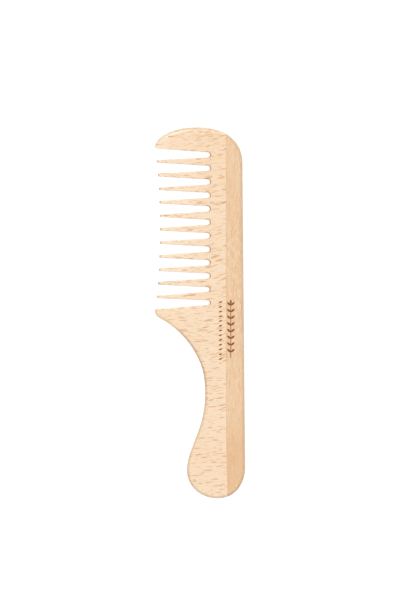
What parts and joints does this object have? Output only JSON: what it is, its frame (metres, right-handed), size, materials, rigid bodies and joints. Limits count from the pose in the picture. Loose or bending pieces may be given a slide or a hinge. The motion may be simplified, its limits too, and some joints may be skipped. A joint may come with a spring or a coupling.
{
  "type": "wide tooth comb",
  "caption": "Flat wooden hair comb with tapered wide teeth, end guards and a curved handle, glued up from a cross-grain tooth board and a long-grain back strip.",
  "frame": {"origin": "middle of the comb's plan outline, on its lower face", "axes": "+Y from the butt of the handle to the head, along the comb; teeth point to -X and the back faces +X; +Z out of the upper face"},
  "size_m": [0.0486, 0.2, 0.0095],
  "materials": {
    "plate_wood": "sanded beech across the comb, thin satin oil",
    "spine_wood": "sanded beech along the comb, thin satin oil",
    "glue": "cured wood glue line"
  },
  "bodies": {
    "root": {"tooth_plate": "plate_wood", "back_spine": "spine_wood", "glue_film": "glue"}
  },
  "joints": []
}
